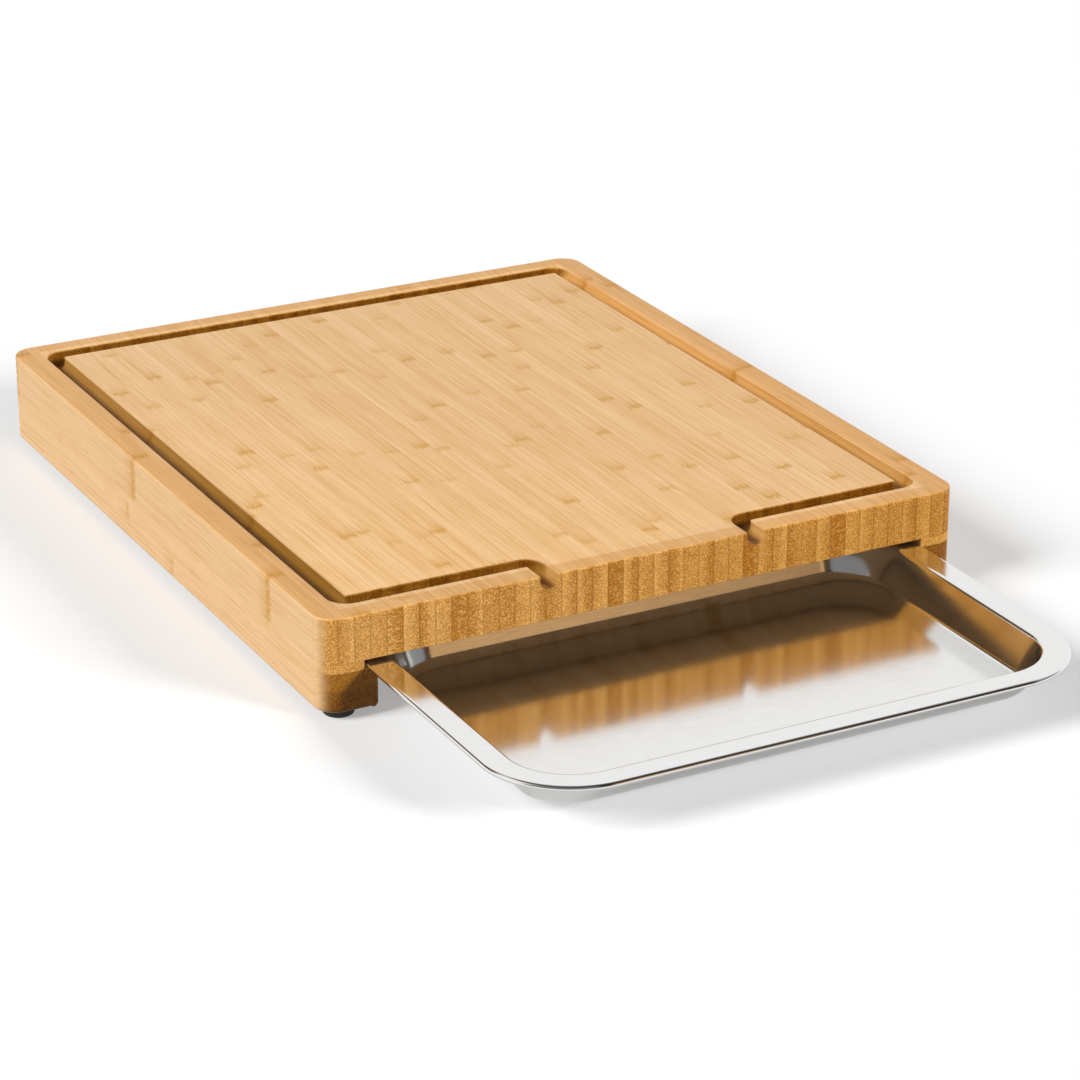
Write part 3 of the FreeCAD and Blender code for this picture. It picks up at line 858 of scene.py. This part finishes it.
@dataclass
class Feet:
    """Round rubber feet, each with the head of its screw in the recess."""

    block: Block
    radius: float = 6.5
    inset_side: float = 11.0
    inset_end: float = 9.5
    recess_radius: float = 3.4
    recess_depth: float = 1.8
    soft_edge: float = 0.9
    ring_edge: float = 0.3
    edge_steps: int = 6
    ring_steps: int = 3
    foot_turns: int = 64
    head_radius: float = 2.8
    head_height: float = 1.2
    head_fall: float = 0.55
    head_rings: int = 25
    head_turns: int = 96
    cross_half: float = 0.42
    cross_slope: float = 0.14
    cross_reach: float = 1.6
    cross_end: float = 0.3
    cross_depth: float = 0.7

    def spin(self, radii: Array, heights: Array, turns: int) -> Array:
        """Section of radii and heights turned once about an upright axis."""
        angle = np.linspace(0.0, 2.0 * np.pi, turns, endpoint=False)[:, None]
        px = radii * np.cos(angle)
        return np.stack([px, radii * np.sin(angle), np.broadcast_to(heights, px.shape)], -1)

    def foot(self, name: str, x: float, y: float) -> Piece:
        """Stud with a soft lower edge and a recess in its underside."""
        top, hole, depth = self.block.rail_floor, self.recess_radius, self.recess_depth
        soft, crisp = self.soft_edge, self.ring_edge
        lower = fillet((self.radius - soft, soft), soft, 0.0, -90.0, self.edge_steps)
        ring = fillet((hole + crisp, crisp), crisp, -90.0, -180.0, self.ring_steps)
        section = np.concatenate([[[0.0, top], [self.radius, top]], lower, ring,
                                  [[hole, depth], [0.0, depth]]])
        shell = Shell()
        shell.grid(self.spin(*section.T, self.foot_turns) + (x, y, 0.0), closed=True)
        return shell.build(name)

    def screw(self, name: str, x: float, y: float) -> Piece:
        """Low round head with a cross cut into it.

        The head hangs from the recess's end by height * (1 - fall * (r / radius) squared),
        and inside the cross it goes up again by the depth of the cut.
        """
        radius, base = self.head_radius, self.recess_depth
        rings = np.linspace(0.0, 1.0, self.head_rings) * radius
        dome = base - self.head_height * (1.0 - self.head_fall * (rings / radius) ** 2)
        head = self.spin(rings, dome, self.head_turns)
        away = np.sort(np.abs(head[..., :2]), axis=-1)
        cut = np.clip((self.cross_half - away[..., 0]) / self.cross_slope, 0.0, 1.0)
        cut *= np.clip((self.cross_reach - away[..., 1]) / self.cross_end, 0.0, 1.0)
        head[..., 2] += self.cross_depth * cut
        rim = self.spin(np.array([radius, radius, 0.0]), np.array([dome[-1], base, base]), self.head_turns)
        shell = Shell()
        for grid in (head, rim):
            shell.grid(grid + (x, y, 0.0), closed=True)
        return shell.build(name)

    def build(self) -> dict[str, tuple[Piece, Piece]]:
        """Foot and screw for each corner, by the name of the foot's node."""
        b = self.block
        made = {}
        for end, y in (("front", b.front + self.inset_end), ("rear", b.back - self.inset_end)):
            for side in Side:
                word = end + "_" + side.name.lower()
                x = side.value * (b.half_width - self.inset_side)
                made[word + "_foot"] = (self.foot(word + "_rubber_foot", x, y),
                                        self.screw(word + "_foot_screw", x, y))
        return made


# ---- The trays ----
@dataclass
class Tray:
    """One tray pressed from steel sheet: lip, rim, drafted wall and floor."""

    name: str
    low_y: float
    length: float = 171.0
    half_width: float = 130.5
    rim_top: float = 23.4
    sheet: float = 0.8
    depth: float = 17.0
    corner: float = 38.0
    rim_flat: float = 9.9
    lip_height: float = 2.1
    lip_bend: float = 1.4
    crest_bend: float = 2.2
    slope: float = 68.0
    side_heel: float = 2.0
    end_heel: float = 7.0
    wall_land: float = 0.35
    lip_land: float = 0.3
    crest_points: int = 10
    heel_points: int = 15
    corner_steps: int = 36
    lip_steps: int = 7
    hem_steps: int = 3
    tip_steps: int = 6

    def wall(self, heel: float) -> Array:
        """Upper skin from the flat rim to the flat floor.

        The crest turns from level to the slope, the wall runs straight, and the heel
        turns back to level on the floor.  The straight run is what the depth leaves:
        its drop is depth - sheet - (crest + heel) * (1 - cos slope).

        Args:
            heel: radius of the bend into the floor.

        Returns:
            Points (inset, height), the same number for any heel.
        """
        turned, crest = math.radians(self.slope), self.crest_bend
        turn = np.linspace(0.0, turned, self.crest_points)
        upper = np.column_stack([np.sin(turn), np.cos(turn) - 1.0]) * crest
        left = self.depth - self.sheet - (crest + heel) * (1.0 - math.cos(turned))
        foot = upper[-1] + np.array([left / math.tan(turned), -left])
        turn = np.linspace(turned, 0.0, self.heel_points)
        lower = np.column_stack([math.sin(turned) - np.sin(turn), math.cos(turned) - np.cos(turn)])
        lower = lower * heel + foot
        land = (self.wall_land, 0.0)
        line = np.concatenate([-np.array([land]), upper, lower, [lower[-1] + land]])
        return line + (self.rim_flat, self.rim_top)

    def section(self, heel: float) -> tuple[Array, Array]:
        """Upper skin inward from the lip, and lower skin outward, one sheet below it.

        The lower skin is the upper one moved along its normal by the sheet.

        Args:
            heel: radius of the bend into the floor.

        Returns:
            The two skins, as points (inset, height).
        """
        top, lip = self.rim_top, self.lip_bend
        inner = self.wall(heel)
        outer = fillet((lip, top - lip), lip, 180.0, 90.0, self.lip_steps)
        upper = np.concatenate([outer, [outer[-1] + (self.lip_land, 0.0)], inner])
        along = np.gradient(inner, axis=0)
        along /= np.linalg.norm(along, axis=1, keepdims=True)
        under = inner + np.column_stack([along[:, 1], -along[:, 0]]) * self.sheet
        hem = fillet((lip, top - lip), lip - self.sheet, 90.0, 180.0, self.hem_steps)
        half = self.sheet / 2.0
        tip = fillet((half, top - self.lip_height + half), half, 0.0, -180.0, self.tip_steps)
        return upper, np.concatenate([under[::-1], hem, tip])

    def build(self) -> Piece:
        """Both skins carried round the rim and closed by the floor.

        Round a corner the section goes from the side's to the end's as the square of the
        Y part of the rim's normal.
        """
        x, low, high = self.half_width, self.low_y, self.low_y + self.length
        path = rounded(((-x, low), (x, low), (x, high), (-x, high)), self.corner, closed=True,
                       steps=self.corner_steps)
        sides, ends = self.section(self.side_heel), self.section(self.end_heel)
        share = (path.normals[:, 1] ** 2)[:, None, None]
        side, end = np.concatenate(sides[::-1]), np.concatenate(ends[::-1])
        grid = path.carry(side * (1.0 - share) + end * share)
        shell = Shell()
        # the outer skin and the floor's underside carry the mark for the steel's painted shade
        outside = np.arange(grid.shape[1] - 1) < len(sides[1])
        shell.grid(grid, closed=True, mark=outside.astype(float))
        shell.face(grid[:, -1])
        shell.face(grid[:, 0], mark=1.0)
        return shell.build(self.name)


# ---- Stage, light and camera ----
def set_up(name: str, data: bpy.types.ID, axes: Sequence[Array], place: Triple = (0.0, 0.0, 0.0)) -> Piece:
    """Lamp or camera put at a place, its X, Y and Z axes turned to the given ones."""
    item = bpy.data.objects.new(name, data)
    turn = Matrix(np.column_stack(axes).tolist())
    item.matrix_world = Matrix.Translation(place) @ turn.to_4x4()
    bpy.context.scene.collection.objects.link(item)
    return item


@dataclass(frozen=True)
class Lamp:
    """Soft lamp: where its light comes from, its strength and its width in degrees."""

    name: str
    toward: Triple
    strength: float
    width: float

    def build(self) -> None:
        """Sun whose Z axis points to where the light comes from; no mirror shows it."""
        data = bpy.data.lights.new(self.name, "SUN")
        data.energy = self.strength
        data.angle = math.radians(self.width)
        back = np.asarray(self.toward) / np.linalg.norm(self.toward)
        right = np.cross((0.0, 0.0, 1.0), back)
        right /= np.linalg.norm(right)
        set_up(self.name, data, (right, np.cross(back, right), back)).visible_glossy = False


@dataclass
class Studio:
    """Pale floor, soft light, the room that metal mirrors, and the camera.

    The camera stands at a place in metres, looks to the azimuth, right of +Y, and down
    by the elevation, and leans by the roll, all in degrees.  Its lens, sensor and the
    floor are in millimetres.
    """

    place: Triple = (-0.680879, -1.290806, 0.634075)
    azimuth: float = 27.93523
    elevation: float = 23.13984
    roll: float = 0.0837
    lens: float = 120.92
    sensor: float = 36.0
    farthest: float = 50.0
    floor_half: float = 9000.0
    floor_height: float = -0.02
    floor_tint: Triple = (0.64, 0.64, 0.64)
    floor_bounce: Triple = (0.16, 0.16, 0.16)
    floor_glow: float = 0.32
    wood_tint: Triple = (0.82, 0.48, 0.21)
    ambient: float = 0.08
    lamps: tuple[Lamp, ...] = (Lamp("key", (-0.82, 0.0, 0.57), 3.5, 28.0),
                               Lamp("fill", (0.52, -0.77, 0.4), 2.85, 16.0))

    def camera(self) -> None:
        """Camera whose axes are ahead = (cos e sin a, cos e cos a, -sin e), right and up."""
        a, e, lean = (math.radians(angle) for angle in (self.azimuth, self.elevation, self.roll))
        ahead = np.array([math.cos(e) * math.sin(a), math.cos(e) * math.cos(a), -math.sin(e)])
        right = np.array([math.cos(a), -math.sin(a), 0.0])
        up = np.cross(right, ahead)
        c, s = math.cos(lean), math.sin(lean)
        right, up = c * right + s * up, c * up - s * right
        data = bpy.data.cameras.new("camera")
        data.lens = self.lens
        data.sensor_width = self.sensor
        data.clip_end = self.farthest
        bpy.context.scene.camera = set_up("camera", data, (right, up, -ahead), self.place)

    def floor(self) -> None:
        """Wide pale floor that keeps the shadow and throws little light back up."""
        shell = Shell()
        square = np.array([[-1, -1], [1, -1], [1, 1], [-1, 1]]) * self.floor_half
        shell.face(level(square, self.floor_height))
        ground = shell.build("floor")
        finish, g, shader = new_finish("pale_floor")
        bounced = g.node("LightPath").outputs["Is Diffuse Ray"]
        g.put(shader["Base Color"], g.mix(bounced, self.floor_tint, self.floor_bounce))
        g.put(shader["Emission Color"], WHITE)
        g.put(shader["Emission Strength"], g.span(bounced, 0.0, 1.0, self.floor_glow, 0.0))
        shader["Roughness"].default_value = 0.9
        shader["Specular IOR Level"].default_value = 0.0
        ground.data.materials.append(finish)
        ground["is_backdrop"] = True

    def world(self) -> None:
        """White where it is seen or mirrored, softer where it lights.

        Metal mirrors white walls, a dim ceiling, a dim room with wooden panelling at
        the front and a dim screen at the back left.  Wood that is lit by way of the metal
        gets most of its light from high up at the front.  Each area is a product of spans
        of x, y and z, the parts of the unit vector that points to it.
        """
        world = bpy.data.worlds.new("white_room")
        world.use_nodes = True
        g = Graph(world.node_tree)
        rays = g.node("LightPath").outputs
        first = g.math("LESS_THAN", rays["Diffuse Depth"], 0.5)
        later = g.minus(1.0, first)
        mirrored = g.most(rays["Is Glossy Ray"], rays["Is Transmission Ray"])
        x, y, z = g.split(g.node("TexCoord").outputs["Generated"])

        ceiling = g.span(z, 0.72, 0.9, 1.0, 0.16)
        screen = g.times(g.span(x, -0.1, -0.25), g.span(z, 0.22, 0.34), g.span(y, 0.4, 0.6, 0.0, 0.85))
        room = g.times(g.span(y, -0.02, -0.25), g.span(z, 0.02, 0.12, 0.0, 0.97),
                       g.span(x, 0.04, 0.18, 0.8, 1.0), g.span(x, 0.72, 0.6, 0.75, 1.0))
        walls = g.times(ceiling, g.minus(1.0, g.most(screen, room)), first)
        panelling = g.times(room, g.span(y, -0.2, -0.45), g.span(z, 0.56, 0.46, 0.0, 0.85),
                            g.span(z, 0.1, 0.2), g.span(x, 0.495, 0.465, 0.12, 1.0),
                            g.span(x, 0.33, 0.37, 0.12, 1.0), first)
        lamp = g.times(g.span(y, -0.05, -0.3), g.span(z, 0.55, 0.7, 0.0, 1.1), later)
        glow = g.plus(g.most(walls, panelling, lamp), g.times(later, self.ambient))

        beam = g.times(g.span(walls, 0.6, 0.2), g.span(x, -0.05, -0.2), g.span(y, 0.0, 0.15))
        wooden = g.times(mirrored, g.most(beam, g.math("GREATER_THAN", panelling, walls)))
        strength = g.node("Mix", {0: mirrored, 2: self.ambient, 3: glow})
        strength = g.node("Mix", {0: rays["Is Camera Ray"], 2: strength.outputs[0], 3: 1.0})
        sky = world.node_tree.nodes["Background"]
        g.put(sky.inputs["Color"], g.mix(wooden, WHITE, self.wood_tint))
        g.put(sky.inputs["Strength"], strength.outputs[0])
        bpy.context.scene.world = world

    def build(self) -> None:
        """Everything that isn't the object."""
        self.camera()
        self.floor()
        self.world()
        for lamp in self.lamps:
            lamp.build()
        bpy.context.scene.view_settings.view_transform = "Standard"


def main() -> None:
    """Build every sub-assembly in order and dress it."""
    logging.basicConfig(level=logging.INFO, format="%(name)s: %(message)s")
    block = Block()
    Studio().build()
    solid = BambooSolid((block.panel_floor, block.ledge, block.rail_joint)).build()
    pitch = 2.0 * block.half_width / block.strips
    panel = Bamboo("bamboo_panel", pitch, block.half_width, 3.0, rim_share=1.0)
    # one strip that is wider than the block, so that its glue lines lie outside
    beyond = block.half_width + 1.0
    spacer = Bamboo("bamboo_spacer", 2.0 * beyond, beyond, 11.0, tone_spread=0.8, joint_gap=210.0,
                    joint_strength=0.7)
    # painted shade: every rail end's grain is much darker than the spacer's, to match the shadow that the
    # front tray throws on the front ends
    rail = replace(spacer, name="bamboo_rail", end_pale=(0.46, 0.2, 0.028), end_deep=(0.17, 0.05, 0.002))
    panel_wood, spacer_wood, rail_wood = (wood.make(solid) for wood in (panel, spacer, rail))
    steel = BrushedSteel().make()
    rubber = Rubber().make()
    zinc = ZincPlate().make()

    dress(Panel(block).build(), panel_wood, "board", ("top_panel",))
    for node, piece in Runners(block).build().items():
        wood = spacer_wood if node.endswith("spacer") else rail_wood
        dress(piece, wood, "board", (node,))
    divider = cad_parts["centre_divider"]
    divider.data.materials.clear()
    divider.data.materials.append(rail_wood)
    for node, (foot, screw) in Feet(block).build().items():
        dress(foot, rubber, "board", (node,))
        dress(screw, zinc, "board")
    for word, low_y in (("front", block.front - block.tray_out), ("rear", block.back - Tray.length)):
        tray = Tray(word + "_steel_tray", low_y).build()
        dress(tray, steel, word + "_drawer", (word + "_tray",))

    as_lists = [[[float(v) for v in corner] for corner in box] for box in (CAD_BOX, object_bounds())]


if __name__ == "__main__":
    main()
